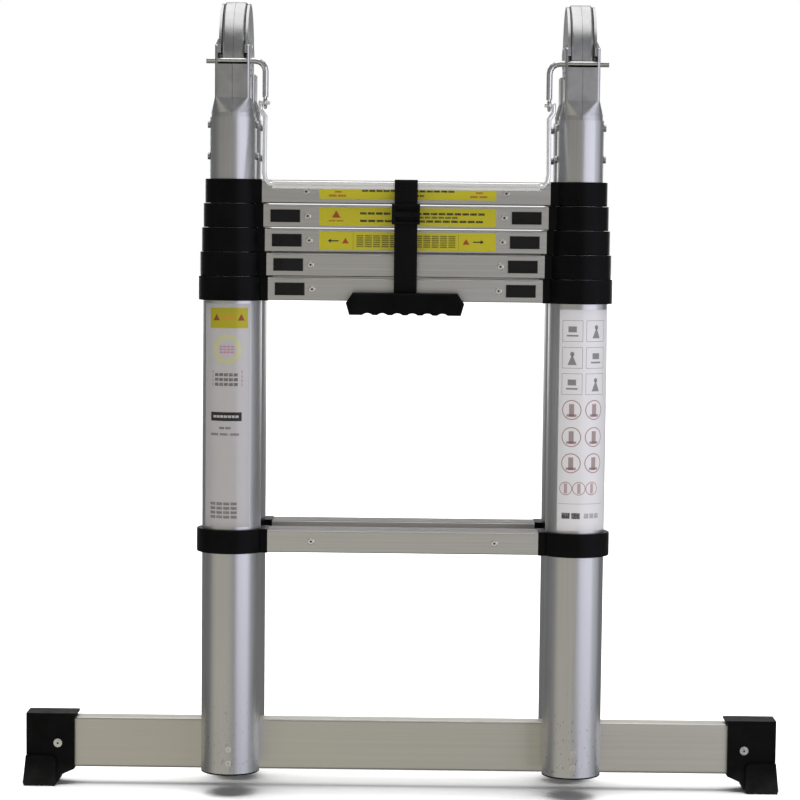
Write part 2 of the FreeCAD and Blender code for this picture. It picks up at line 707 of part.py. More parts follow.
def stabiliser_foot(side):
    """Rubber foot: a cap over the bar's end with a spread, chamfered sole."""
    y0 = BAR_FRONT
    y1 = y0 + BAR_DEPTH
    top = BAR_BASE + BAR_HEIGHT + FOOT_WALL
    outline = [
        (FOOT_INNER, top),
        (FOOT_OUTER, top),
        (FOOT_OUTER, TOE_TOP),
        (FOOT_OUTER + FOOT_FLARE, 4.0),
        (FOOT_OUTER + FOOT_FLARE - 1.5, 0.0),
        (FOOT_OUTER - 31.5, 0.0),
        (FOOT_OUTER - 39.0, 4.5),
        (FOOT_OUTER - 42.0, 12.5),
        (FOOT_INNER, 20.0),
    ]
    cap_front = y0 - FOOT_WALL
    cap_back = y1 + FOOT_WALL
    cap = prism_y([(side * x, z) for x, z in outline], cap_front, cap_back)
    lip = box(side * (FOOT_INNER - 2.5), side * FOOT_OUTER, cap_front, cap_back, top - 2.5, top)
    toe = [
        (FOOT_OUTER - 36.5, 2.0),
        (FOOT_OUTER - 36.5, TOE_TOP - 4),
        (FOOT_OUTER - 32.5, TOE_TOP),
        (FOOT_OUTER, TOE_TOP),
        (FOOT_OUTER + FOOT_FLARE, 4.0),
        (FOOT_OUTER + FOOT_FLARE - 1.5, 0.0),
        (FOOT_OUTER - 34.5, 0.0),
    ]
    toe = prism_y([(side * x, z) for x, z in toe], cap_front - TOE_SPREAD, cap_back + TOE_SPREAD)
    foot = fused([cap, lip, toe])
    pocket = box(
        side * (FOOT_INNER - 5),
        side * (BAR_HALF + 0.05),
        y0 - COLLAR_FIT,
        y1 + COLLAR_FIT,
        BAR_BASE - COLLAR_FIT,
        BAR_BASE + BAR_HEIGHT + COLLAR_FIT,
    )
    foot = foot.cut(pocket)
    for number in range(SOLE_GROOVES):
        low = FOOT_OUTER - 26.0 + SOLE_GROOVE_PITCH * number
        groove = box(side * low, side * (low + SOLE_GROOVE_WIDTH), y0 - 20, y1 + 20, -1, 2.0)
        foot = foot.cut(groove)
    return foot.cut(inward(side * FOOT_SCREW_X, y0 - 20, y0 + 1, FOOT_SCREW_Z, FOOT_SCREW_HOLE))


def stabiliser_fasteners():
    """Bolts through the base tubes into the bar, plug rivets and foot screws."""
    pieces = []
    y0 = BAR_FRONT
    for side in (-1, 1):
        x = side * STILE_X
        seat = FRONT_Y + TUBE_RADIUS - TUBE_WALL - 0.9
        pieces.append(fused([
            inward(x, seat - 5.0, seat, BOLT_Z, 6.5),
            inward(x, seat - 1.0, y0 + BAR_WALL + 6.0, BOLT_Z, BOLT_RADIUS),
            inward(x, y0 + BAR_WALL + 0.05, y0 + BAR_WALL + 6.0, BOLT_Z, 6.0),
        ]))
        skin = FRONT_Y - TUBE_RADIUS
        for z, crown in ((PLUG_RIVET_Z, 1.5), (BOLT_Z, 0.9)):
            rivet = fused([
                inward(x, skin - crown, skin - RIVET_SEAT, z, RIVET_RADIUS - 0.4),
                inward(x, skin - 0.5, skin + 4.0, z, RIVET_SHANK - COLLAR_FIT),
            ])
            pieces.append(rivet.cut(inward(x, skin - crown - 1, skin + 1.0, z, RIVET_EYE)))
        screw_x = side * FOOT_SCREW_X
        rubber = y0 - FOOT_WALL
        screw = fused([
            inward(screw_x, rubber - 0.9, rubber - RIVET_SEAT, FOOT_SCREW_Z, 5.2),
            inward(screw_x, rubber - 2.3, rubber - 0.5, FOOT_SCREW_Z, 3.6),
            inward(screw_x, rubber - 1.0, y0 + BAR_WALL + 4.0, FOOT_SCREW_Z, FOOT_SCREW_RADIUS),
        ])
        socket = inward(screw_x, rubber - 3.0, rubber - 1.0, FOOT_SCREW_Z, RIVET_EYE)
        pieces.append(screw.cut(socket))
    return pieces


def carry_strap():
    """Webbing looped round the top rung, hanging in front of the stack, and its slide."""
    base = collar_base(STAGES) + RUNG_LIFT
    top = base + RUNG_HEIGHT
    face = FRONT_Y - RUNG_DEPTH / 2 - STRAP_AIR
    back = FRONT_Y + RUNG_DEPTH / 2 + STRAP_AIR
    roof = top + STRAP_AIR
    floor = base - STRAP_AIR
    thick = STRAP_THICK
    runs = [
        (face - thick, back + thick, roof, roof + thick),
        (back, back + thick, floor - thick, roof + thick),
        (face - thick, back + thick, floor - thick, floor),
        (face - thick, face, floor - thick, roof + thick),
        (STRAP_HANG_Y - thick, face, roof, roof + thick),
        (STRAP_HANG_Y - thick, STRAP_HANG_Y, HANDLE_TOP - 0.5, roof + thick),
    ]
    webbing = fused([box(-STRAP_HALF, STRAP_HALF, y0, y1, z0, z1) for y0, y1, z0, z1 in runs])
    slide = box(
        -SLIDE_HALF, SLIDE_HALF, STRAP_HANG_Y - thick - 2.6, STRAP_HANG_Y + 2.0, SLIDE_LOW, SLIDE_HIGH
    )
    window = box(
        -STRAP_HALF - 0.3,
        STRAP_HALF + 0.3,
        STRAP_HANG_Y - thick - 0.1,
        STRAP_HANG_Y + 0.1,
        SLIDE_LOW - 4,
        SLIDE_HIGH + 4,
    )
    return [webbing, slide.cut(window)]


def carry_handle():
    """Moulded grip with finger scallops along its underside."""
    y1 = FRONT_Y - HANDLE_BACK
    y0 = y1 - HANDLE_DEPTH
    outline = [
        (-HANDLE_SHOULDER, HANDLE_TOP),
        (HANDLE_SHOULDER, HANDLE_TOP),
        (HANDLE_HALF, HANDLE_TOP - 12.0),
        (HANDLE_HALF - 4.0, HANDLE_LOW),
        (-HANDLE_HALF + 4.0, HANDLE_LOW),
        (-HANDLE_HALF, HANDLE_TOP - 12.0),
    ]
    grip = prism_y(outline, y0, y1)
    grip = grip.makeFillet(3.0, [e for e in grip.Edges if e.BoundBox.YLength < 0.01])
    scallop_z = HANDLE_LOW + SCALLOP_DEEP - SCALLOP_RADIUS
    for number in range(SCALLOP_COUNT):
        x = SCALLOP_PITCH * (number - (SCALLOP_COUNT - 1) / 2)
        grip = grip.cut(inward(x, y0 - 1, y1 + 1, scallop_z, SCALLOP_RADIUS))
    slot = box(
        -STRAP_HALF - 0.3,
        STRAP_HALF + 0.3,
        STRAP_HANG_Y - STRAP_THICK - 0.3,
        STRAP_HANG_Y + 0.3,
        HANDLE_TOP - 0.8,
        HANDLE_TOP + 1,
    )
    return grip.cut(slot)


# ---- write the nodes ----------------------------------------------------------------------

for half, y, outside in (("front", FRONT_Y, -1), ("rear", REAR_Y, 1)):
    tubes = []
    plugs = []
    collars = []
    for side in (-1, 1):
        x = side * STILE_X
        tube = stage_tube(side, y, 1)
        plug = foot_plug(side, y)
        if half == "front":
            tube = tube.cut(inward(x, y - 40, y, BOLT_Z, RIVET_SHANK))
            tube = tube.cut(inward(x, y, y + 40, BOLT_Z, BOLT_HOLE))
            tube = tube.cut(inward(x, y - 40, y, PLUG_RIVET_Z, RIVET_SHANK))
            plug = plug.cut(inward(x, y - 40, y, PLUG_RIVET_Z, RIVET_SHANK))
        tubes.append(tube)
        plugs.append(plug)
        collars.extend([lower_collar(side, y), top_collar(side, y, 1)])
    save(half + "_base_tubes", tubes)
    save(half + "_foot_plugs", plugs)
    save(half + "_base_collars", collars)
    lower_half = rung_end(LOWER_COLLAR_RADIUS)
    save(half + "_lower_rung", rung(lower_half, y, LOWER_COLLAR_BASE + RUNG_LIFT, outside, False))
    first_half = rung_end(collar_radius(1))
    save(half + "_rung_1", rung(first_half, y, collar_base(1) + RUNG_LIFT, outside, True))
    for stage in range(2, STAGES + 1):
        name = half + "_stage_" + str(stage)
        tubes = []
        for side in (-1, 1):
            x = side * STILE_X
            tube = stage_tube(side, y, stage)
            if stage == STAGES:
                for z in ARM_RIVET_HEIGHTS:
                    tube = tube.cut(across(x - 40, x + 40, y, z, ARM_RIVET_HOLE))
            tubes.append(tube)
        save(name + "_tubes", tubes)
        save(name + "_collars", [top_collar(side, y, stage) for side in (-1, 1)])
        half_length = rung_end(collar_radius(stage))
        base = collar_base(stage) + RUNG_LIFT
        save(name + "_rung", rung(half_length, y, base, outside, stage < STAGES))
    for stage in range(1, STAGES):
        for side, hand in ((-1, "left"), (1, "right")):
            name = half + "_button_" + str(stage) + "_" + hand
            save(name, [thumb_button(side, y, stage, outside)])

for half, y, arm in (("front", FRONT_Y, front_arm()), ("rear", REAR_Y, rear_arm())):
    for z in ARM_RIVET_HEIGHTS:
        arm = arm.cut(across(-40, 40, y, z, ARM_RIVET_HOLE))
    arms = []
    for side in (-1, 1):
        for piece in [arm.copy()] + arm_rivets(y):
            piece.translate(Vec(side * STILE_X, 0, 0))
            arms.append(piece)
    save(half + "_hinge_arms", arms)

axles = []
levers = []
for side in (-1, 1):
    axle = hinge_axle()
    lever = lock_lever()
    if side == 1:
        lever = lever.mirror(Vec(0, 0, 0), Vec(1, 0, 0))
    for piece, pair in ((axle, axles), (lever, levers)):
        piece.translate(Vec(side * STILE_X, 0, 0))
        pair.append(piece)
save("hinge_axles", axles)
save("lock_levers", levers)
save("release_bar", [release_bar()])

save("stabiliser_bar", [stabiliser_bar()])
save("stabiliser_feet", [stabiliser_foot(side) for side in (-1, 1)])
save("stabiliser_fasteners", stabiliser_fasteners())
save("carry_strap", carry_strap())
save("carry_handle", [carry_handle()])
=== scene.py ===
import math

import bpy
from mathutils import Matrix, Vector


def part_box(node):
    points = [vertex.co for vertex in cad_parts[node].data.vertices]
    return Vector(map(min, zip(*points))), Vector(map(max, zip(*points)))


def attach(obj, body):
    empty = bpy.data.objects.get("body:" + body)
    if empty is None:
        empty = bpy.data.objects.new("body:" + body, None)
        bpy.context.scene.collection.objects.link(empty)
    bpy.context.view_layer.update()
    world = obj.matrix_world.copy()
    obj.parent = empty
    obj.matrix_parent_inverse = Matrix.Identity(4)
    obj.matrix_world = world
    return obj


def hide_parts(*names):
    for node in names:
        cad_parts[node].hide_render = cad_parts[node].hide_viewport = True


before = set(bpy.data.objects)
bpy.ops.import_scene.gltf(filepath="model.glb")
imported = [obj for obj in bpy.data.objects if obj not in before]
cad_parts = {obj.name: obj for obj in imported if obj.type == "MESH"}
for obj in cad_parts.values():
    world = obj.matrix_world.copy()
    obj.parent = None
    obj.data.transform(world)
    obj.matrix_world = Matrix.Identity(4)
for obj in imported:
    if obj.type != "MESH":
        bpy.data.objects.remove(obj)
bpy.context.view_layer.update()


# ---- tubes --------------------------------------------------------------------------------
# Ten pairs of round aluminium tubes, drawn and satin anodised. Each slides in the one below
# it, so the skin carries long fine draw lines, and the base tubes are scuffed near the foot.


class Wire:
    """A shader socket that ordinary arithmetic works on. Each operation adds a Math node."""

    def __init__(self, finish, socket):
        self.finish = finish
        self.socket = socket

    def math(self, operation, first, second=0.0):
        return self.finish.node("Math", {"operation": operation}, {0: first, 1: second})

    def __add__(self, other):
        return self.math("ADD", self, other)

    def __radd__(self, other):
        return self.math("ADD", other, self)

    def __sub__(self, other):
        return self.math("SUBTRACT", self, other)

    def __rsub__(self, other):
        return self.math("SUBTRACT", other, self)

    def __mul__(self, other):
        return self.math("MULTIPLY", self, other)

    def __rmul__(self, other):
        return self.math("MULTIPLY", other, self)

    def __truediv__(self, other):
        return self.math("DIVIDE", self, other)

    def __gt__(self, other):
        return self.math("GREATER_THAN", self, other)

    def __lt__(self, other):
        return self.math("LESS_THAN", self, other)

    def __abs__(self):
        return self.math("ABSOLUTE", self)


class Finish:
    """One material. Steady values go on the shader, and node() adds whatever varies."""

    def __init__(self, name, **steady):
        self.material = bpy.data.materials.new(name)
        self.material.use_nodes = True
        self.tree = self.material.node_tree
        self.tree.nodes.clear()
        self.shader = self.tree.nodes.new("ShaderNodeBsdfPrincipled")
        output = self.tree.nodes.new("ShaderNodeOutputMaterial")
        self.tree.links.new(self.shader.outputs[0], output.inputs[0])
        for socket, value in steady.items():
            self.shader.inputs[socket.replace("_", " ")].default_value = value

    def feed(self, socket, value):
        if isinstance(value, Wire):
            self.tree.links.new(value.socket, socket)
        else:
            socket.default_value = value

    def node(self, kind, settings, values, output=0):
        made = self.tree.nodes.new("ShaderNode" + kind)
        for setting, value in settings.items():
            if setting == "stops":
                ramp = made.color_ramp.elements
                while len(ramp) < len(value):
                    ramp.new(1.0)
                for element, (place, colour) in zip(ramp, value):
                    element.position = place
                    element.color = colour
            else:
                setattr(made, setting, value)
        for socket, value in values.items():
            self.feed(made.inputs[socket], value)
        return Wire(self, made.outputs[output])

    def varies(self, socket, wire):
        self.feed(self.shader.inputs[socket], wire)

    def feeding(self, socket):
        """Whatever feeds one of the shader's sockets so far."""
        return Wire(self, self.shader.inputs[socket].links[0].from_socket)

    def clamped(self, first, second):
        """A product that is kept between 0 and 1."""
        return self.node("Math", {"operation": "MULTIPLY", "use_clamp": True}, {0: first, 1: second})

    def place(self):
        """Object coordinates as a vector."""
        return self.node("TexCoord", {}, {}, "Object")

    def along(self):
        """Object coordinates as three numbers."""
        split = self.node("SeparateXYZ", {}, {0: self.place()})
        return [Wire(self, split.socket.node.outputs[number]) for number in range(3)]

    def stretched(self, per_metre):
        """Object coordinates times a scale for each axis."""
        return self.node("VectorMath", {"operation": "MULTIPLY"}, {0: self.place(), 1: per_metre})

    def noise(self, per_metre, detail=3.0, rough=0.55):
        values = {"Vector": self.stretched(per_metre), "Scale": 1.0}
        values.update({"Detail": detail, "Roughness": rough})
        return self.node("TexNoise", {}, values)

    def ramp(self, factor, stops):
        return self.node("ValToRGB", {"stops": stops}, {0: factor})

    def blend(self, factor, first, second):
        mixed = self.node("Mix", {"data_type": "RGBA"}, {0: factor}, 2)
        self.feed(mixed.socket.node.inputs[6], first)
        self.feed(mixed.socket.node.inputs[7], second)
        return mixed

    def bump(self, height, strength, distance):
        values = {"Height": height, "Strength": strength, "Distance": distance}
        self.varies("Normal", self.node("Bump", {}, values))

    def onto(self, *names):
        """Give this finish to CAD nodes."""
        for name in names:
            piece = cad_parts[name]
            if not piece.material_slots:
                piece.data.materials.append(self.material)
            for slot in piece.material_slots:
                slot.material = self.material


def grey(value, red=1.0, green=1.0, blue=1.0):
    return (value * red, value * green, value * blue, 1.0)


halves = ("front", "rear")
sliding = (2, 3, 4, 5)
MEAN = 0.5                 # of any noise, so a finish varies to both sides of its own value
BLOTCH = 0.35              # how far the blotches darken the skin
LINE_SHEEN = 0.16          # how far the draw lines change the roughness
BLOTCH_SHEEN = 0.10


def drawn_aluminium(name, light, dark, lines_per_metre, roughness, metallic=1.0):
    """Satin anodised skin with draw lines, faint blotches and a fine grain."""
    finish = Finish(name, Metallic=metallic)
    lines = finish.noise(lines_per_metre, detail=4.0, rough=0.65)
    cloud = finish.noise((9.0, 9.0, 5.0), detail=3.0, rough=0.5)
    grain = finish.noise((1500.0, 1500.0, 1500.0), detail=2.0, rough=0.5)
    tone = finish.ramp(lines, [(0.30, dark), (0.72, light)])
    finish.varies("Base Color", finish.blend(cloud * BLOTCH, tone, dark))
    sheen = (lines - MEAN) * LINE_SHEEN
    finish.varies("Roughness", roughness + sheen + (cloud - MEAN) * BLOTCH_SHEEN)
    finish.bump(lines * 0.8 + grain * 0.5, strength=0.10, distance=0.0002)
    return finish


SCUFF_TOP = 0.16           # scuffs fade out up to this height
SCUFF_FADE = 9.0           # full strength below about 5 cm
SPECK = 0.66               # noise above this is a speck
SPECK_DEPTH = 0.75
tube_finish = drawn_aluminium(
    "drawn_tube",
    light=grey(0.76, 0.985, 0.99, 1.0),
    dark=grey(0.64, 0.98, 0.985, 1.0),
    lines_per_metre=(260.0, 260.0, 2.5),
    roughness=0.35,
)
height = tube_finish.along()[2]
specks = tube_finish.noise((420.0, 420.0, 190.0), detail=2.0, rough=0.6) > SPECK
low_down = tube_finish.clamped(SCUFF_TOP - height, SCUFF_FADE)
clean = tube_finish.feeding("Base Color")
tube_finish.varies("Base Color", tube_finish.blend(specks * low_down * SPECK_DEPTH, clean, grey(0.30)))
for half in halves:
    stage_tubes = [half + "_stage_%d_tubes" % stage for stage in sliding]
    tube_finish.onto(half + "_base_tubes", *stage_tubes)

# ---- rungs --------------------------------------------------------------------------------
# Six hollow extruded rungs on each half, champagne anodised, with a ribbed tread and pulled
# rivets near each end. The extrusion lines run the length of the rung.


def middle_y(name):
    """Where the middle of a CAD node lies through the ladder's thickness."""
    low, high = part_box(name)
    return (low[1] + high[1]) / 2


rung_finish = drawn_aluminium(
    "extruded_rung",
    light=grey(0.80, 1.0, 0.99, 0.98),
    dark=grey(0.68, 1.0, 0.99, 0.975),
    lines_per_metre=(3.0, 420.0, 420.0),
    roughness=0.34,
)
RUNG_HALF_DEPTH = 0.021
RIVET_CLEAR = 0.0002       # only rivet heads stand this far off a rung's skin
RIVET_POLISH = 0.18        # rivets are this much less rough
depth = rung_finish.along()[1]
off_axis = [abs(depth - middle_y(half + "_lower_rung")) for half in halves]
nearest = rung_finish.node("Math", {"operation": "MINIMUM"}, {0: off_axis[0], 1: off_axis[1]})
on_rivet = nearest > RUNG_HALF_DEPTH + RIVET_CLEAR
rivet_colour = rung_finish.blend(on_rivet, rung_finish.feeding("Base Color"), grey(0.86))
rung_finish.varies("Base Color", rivet_colour)
rung_finish.varies("Roughness", rung_finish.feeding("Roughness") - on_rivet * RIVET_POLISH)
for half in halves:
    stage_rungs = [half + "_stage_%d_rung" % stage for stage in sliding]
    rung_finish.onto(half + "_lower_rung", half + "_rung_1", *stage_rungs)

# ---- collars ------------------------------------------------------------------------------
# Black moulded collars clamp each tube, guide the next and take the rung ends. Glass-filled
# nylon: a low sheen, a fine pebbled skin and paler rubbed patches.


HANDLING_SHEEN = 0.20      # how far handling changes a moulding's roughness
PEBBLE_SHEEN = 0.10


def moulded(name, deep, pale, roughness, pebble, strength, gloss=0.08):
    """Black moulding with a pebbled skin and a little handling wear."""
    finish = Finish(name, Specular_IOR_Level=gloss)
    skin = finish.noise((pebble, pebble, pebble), detail=2.0, rough=0.5)
    handling = finish.noise((28.0, 28.0, 28.0), detail=4.0, rough=0.6)
    finish.varies("Base Color", finish.ramp(handling, [(0.35, deep), (0.75, pale)]))
    sheen = (handling - MEAN) * HANDLING_SHEEN
    finish.varies("Roughness", roughness + sheen + (skin - MEAN) * PEBBLE_SHEEN)
    finish.bump(skin, strength, distance=0.0003)
    return finish


collar_finish = moulded(
    "collar_nylon",
    deep=grey(0.0012, 1, 1, 1.1),
    pale=grey(0.0030, 1, 1, 1.15),
    roughness=0.36,
    pebble=1300.0,
    strength=0.12,
)
for half in halves:
    stage_collars = [half + "_stage_%d_collars" % stage for stage in sliding]
    collar_finish.onto(half + "_base_collars", *stage_collars)

# ---- thumb buttons ------------------------------------------------------------------------
# One sliding release button at each end of the upper rungs. Black acetal, smoother than the
# collars, with a recessed thumb pad at its outer end.

button_finish = moulded(
    "button_acetal",
    deep=grey(0.0022, 1, 1, 1.1),
    pale=grey(0.005, 1, 1, 1.15),
    roughness=0.30,
    pebble=2200.0,
    strength=0.06,
    gloss=0.32,
)
for half in halves:
    for stage in (1, 2, 3, 4):
        for hand in ("left", "right"):
            button_finish.onto("%s_button_%d_%s" % (half, stage, hand))

# ---- foot plugs and stabiliser feet -------------------------------------------------------
# Moulded rubber: plugs pressed into the base tubes, and a grooved cap over each end of the
# stabiliser bar. Matte, with dust caught in the pores low down.


DUST_TOP = 0.03            # dust fades out up to this height
DUST_FADE = 25.0


def rubber(name):
    finish = Finish(name, Specular_IOR_Level=0.08)
    pores = finish.noise((900.0, 900.0, 900.0), detail=3.0, rough=0.6)
    dust = finish.noise((60.0, 60.0, 60.0), detail=4.0, rough=0.65)
    near_floor = finish.clamped(DUST_TOP - finish.along()[2], DUST_FADE)
    skin = finish.ramp(dust, [(0.3, grey(0.0015)), (0.8, grey(0.0042))])
    dusty = finish.blend(near_floor * dust * 0.5, skin, grey(0.05, 1.0, 0.97, 0.92))
    finish.varies("Base Color", dusty)
    finish.varies("Roughness", 0.52 + (dust - MEAN) * 0.25)
    finish.bump(pores, strength=0.18, distance=0.0004)
    return finish


rubber("foot_rubber").onto("front_foot_plugs", "rear_foot_plugs", "stabiliser_feet")

# ---- stabiliser bar -----------------------------------------------------------------------
# A rectangular aluminium tube bolted behind the front base tubes, champagne anodised like
# the rungs, with faint saw and handling marks along its length.

bar_finish = drawn_aluminium(
    "stabiliser_tube",
    light=grey(0.86, 1.0, 0.975, 0.90),
    dark=grey(0.77, 1.0, 0.975, 0.895),
    lines_per_metre=(1.2, 300.0, 300.0),
    roughness=0.42,
)
bar_finish.onto("stabiliser_bar")

# ---- release bar --------------------------------------------------------------------------
# A grooved pull bar in front of the top rung, bright anodised, with a bent link rod at each
# end that hooks into a lock lever.

pull_finish = drawn_aluminium(
    "release_pull",
    light=grey(0.95),
    dark=grey(0.88),
    lines_per_metre=(4.0, 500.0, 500.0),
    roughness=0.22,
    metallic=0.7,
)
pull_finish.onto("release_bar")

# ---- hinges, levers and fasteners ---------------------------------------------------------
# Pressed steel arms, riveted discs, round lock levers, bolts and screws, all zinc plated.
# The plating is bright on the edges and slightly cloudy on the flats.


def zinc(name, light, dark, roughness):
    finish = Finish(name, Metallic=1.0)
    spot = finish.stretched((160.0, 160.0, 160.0))
    spangle = finish.node("TexVoronoi", {}, {"Vector": spot, "Scale": 1.0})
    haze = finish.noise((45.0, 45.0, 45.0), detail=4.0, rough=0.6)
    brushed = finish.noise((900.0, 60.0, 60.0), detail=3.0, rough=0.6)
    finish.varies("Base Color", finish.ramp(haze, [(0.3, dark), (0.7, light)]))
    finish.varies("Roughness", roughness + (haze - MEAN) * 0.22 + (spangle - 0.4) * 0.05)
    finish.bump(brushed * 0.6 + haze * 0.6, strength=0.08, distance=0.0004)
    return finish


plate_finish = zinc(
    "zinc_plate", light=grey(0.68, 0.99, 1.0, 1.01), dark=grey(0.52, 0.99, 1.0, 1.02), roughness=0.36
)
plate_finish.onto("front_hinge_arms", "rear_hinge_arms", "hinge_axles")
rod_finish = zinc("zinc_rod", light=grey(0.84), dark=grey(0.72), roughness=0.24)
rod_finish.onto("lock_levers", "stabiliser_fasteners")

# ---- rivet mandrels, dark as painted shade ------------------------------------------------
# The broken steel stem that a blind rivet leaves in its eye, slightly sunk; its near-black colour
# is painted shade in the eye. Four on each rung, and one in the socket of each foot screw,
# where the dark stem is painted shade in an empty socket.


def deselect():
    if bpy.context.object and bpy.context.object.mode != "OBJECT":
        bpy.ops.object.mode_set(mode="OBJECT")
    bpy.ops.object.select_all(action="DESELECT")


def named(name):
    piece = bpy.context.object
    piece.name = name
    piece.data.name = name
    return piece


def only(piece):
    """Select this piece alone, as an operator needs."""
    deselect()
    piece.select_set(True)
    bpy.context.view_layer.objects.active = piece


def settle(piece):
    """Put the piece's place in its mesh, so that the object sits at the origin."""
    only(piece)
    bpy.ops.object.transform_apply(location=True, rotation=True, scale=True)
    bpy.context.scene.cursor.location = (0.0, 0.0, 0.0)
    bpy.ops.object.origin_set(type="ORIGIN_CURSOR")


def smooth(piece, degrees=35.0):
    only(piece)
    bpy.ops.object.shade_smooth_by_angle(angle=math.radians(degrees))


stem_finish = Finish("mandrel_painted_shade", Metallic=1.0)
rust = stem_finish.noise((700.0, 700.0, 700.0), detail=3.0, rough=0.6)
# The near-black stem colour is painted shade in the rivet eyes and screw sockets; the brown tint is
# rust.
rust_and_painted_shade = stem_finish.ramp(rust, [(0.3, grey(0.05)), (0.8, grey(0.16, 1.0, 0.95, 0.9))])
stem_finish.varies("Base Color", rust_and_painted_shade)
stem_finish.varies("Roughness", 0.45 + (rust - MEAN) * 0.3)
STEM_RADIUS = 0.00125
STEM_LENGTH = 0.0019
STEM_SUNK = 0.0003         # below the rivet's crown
RIVET_CROWN = 0.0013       # rivet head above the rung's skin
RIVET_FROM_END = 0.052


def stems_at(name, places, body):
    """Short cylinders along Y, in the near-black finish that paints shade, joined as one piece."""
    deselect()
    stems = []
    for place in places:
        bpy.ops.mesh.primitive_cylinder_add(
            vertices=20,
            radius=STEM_RADIUS,
            depth=STEM_LENGTH,
            location=place,
            rotation=(math.pi / 2, 0.0, 0.0),
        )
        stems.append(bpy.context.object)
    for stem in stems:
        stem.select_set(True)
    bpy.context.view_layer.objects.active = stems[0]
    bpy.ops.object.join()
    joined = named(name)
    settle(joined)
    smooth(joined)
    joined.data.materials.append(stem_finish.material)
    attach(joined, body)


for half in halves:
    rungs = [("lower_rung", "base"), ("rung_1", "base")]
    rungs += [("stage_%d_rung" % stage, "stage_%d" % stage) for stage in sliding]
    for rung_name, body in rungs:
        low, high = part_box(half + "_" + rung_name)
        places = []
        for side in (-1, 1):
            for face in (-1, 1):
                skin = (high[1] + low[1]) / 2 + face * RUNG_HALF_DEPTH
                crown = skin + face * (RIVET_CROWN - STEM_SUNK - STEM_LENGTH / 2)
                places.append((side * (high[0] - RIVET_FROM_END), crown, (low[2] + high[2]) / 2))
        stems_at("%s_%s_mandrels" % (half, rung_name), places, "%s_%s" % (half, body))

# The screws that hold the stabiliser feet have a socket; a dark stem in each is painted shade.
SCREW_X = 0.417
SCREW_Z = 0.052
SOCKET_DEEP = 0.0064       # middle of the socket in front of the stabiliser bar
bar_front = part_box("stabiliser_bar")[0][1]
sockets = [(side * SCREW_X, bar_front - SOCKET_DEEP, SCREW_Z) for side in (-1, 1)]
stems_at("foot_screw_socket_painted_shade", sockets, "front_base")

# ---- carry strap --------------------------------------------------------------------------
# Black nylon webbing, 27 mm wide, looped round the top rung, laid over the release bar and
# run down the front of the stack into the handle. A plastic slide joins its two layers.


def modified(piece, kind, **settings):
    """Add a modifier and apply it."""
    only(piece)
    modifier = piece.modifiers.new(kind.lower(), kind)
    for setting, value in settings.items():
        setattr(modifier, setting, value)
    bpy.ops.object.modifier_apply(modifier=modifier.name)


WEB_HALF = 0.0135
WEB_THICK = 0.0012
WEB_AIR = 0.0009           # middle of the webbing off the rung's skin
PULL_AIR = 0.0026          # middle of the webbing off the release bar
TUCK = 0.0004              # the lower end goes this far into the handle
INNER_END = 0.0012         # the inner end stops this far below the rung's top
BEND = 0.0022              # how far each corner of the strap is rounded off
BEND_STEPS = 4
rung_low, rung_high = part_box("front_stage_5_rung")
rung_front = rung_low[1] + RIVET_CROWN
rung_back = rung_high[1] - RIVET_CROWN
rung_floor = rung_low[2]
rung_top = rung_high[2]
grip_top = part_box("carry_handle")[1][2]
hang_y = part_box("release_bar")[0][1] - PULL_AIR


def rounded_route(corners):
    """Corners of the strap's route in (y, z), each cut back into a short curve."""
    route = [corners[0]]
    for before, corner, after in zip(corners, corners[1:], corners[2:]):
        here = Vector(corner)
        start = here + (Vector(before) - here).normalized() * BEND
        end = here + (Vector(after) - here).normalized() * BEND
        for number in range(BEND_STEPS + 1):
            share = number / BEND_STEPS
            first = start.lerp(here, share)
            second = here.lerp(end, share)
            route.append(tuple(first.lerp(second, share)))
    route.append(corners[-1])
    return route


route = rounded_route([
    (hang_y, grip_top - TUCK),
    (hang_y, rung_top + WEB_AIR),
    (rung_back + WEB_AIR, rung_top + WEB_AIR),
    (rung_back + WEB_AIR, rung_floor - WEB_AIR),
    (rung_front - WEB_AIR, rung_floor - WEB_AIR),
    (rung_front - WEB_AIR, rung_top - INNER_END),
])
deselect()
bpy.ops.mesh.primitive_plane_add(size=1.0)
strap = named("strap_webbing")
bpy.ops.object.mode_set(mode="EDIT")
bpy.ops.mesh.select_all(action="SELECT")
bpy.ops.mesh.delete(type="ONLY_FACE")
bpy.ops.object.mode_set(mode="OBJECT")
# two corners of the plane become the strap's lower end, and the other two are dropped
for vertex in strap.data.vertices:
    vertex.select = vertex.co.y > 0
bpy.ops.object.mode_set(mode="EDIT")
bpy.ops.mesh.delete(type="VERT")
bpy.ops.object.mode_set(mode="OBJECT")
for vertex in strap.data.vertices:
    vertex.co = (math.copysign(WEB_HALF, vertex.co.x), route[0][0], route[0][1])
bpy.ops.object.mode_set(mode="EDIT")
bpy.ops.mesh.select_all(action="SELECT")
for start, end in zip(route, route[1:]):
    step = (0.0, end[0] - start[0], end[1] - start[1])
    bpy.ops.mesh.extrude_region_move(TRANSFORM_OT_translate={"value": step})
bpy.ops.mesh.select_all(action="SELECT")
bpy.ops.mesh.normals_make_consistent(inside=False)
bpy.ops.object.mode_set(mode="OBJECT")
modified(strap, "SOLIDIFY", thickness=WEB_THICK, offset=0.0)
modified(strap, "BEVEL", width=0.0004, segments=2, limit_method="ANGLE")
smooth(strap)

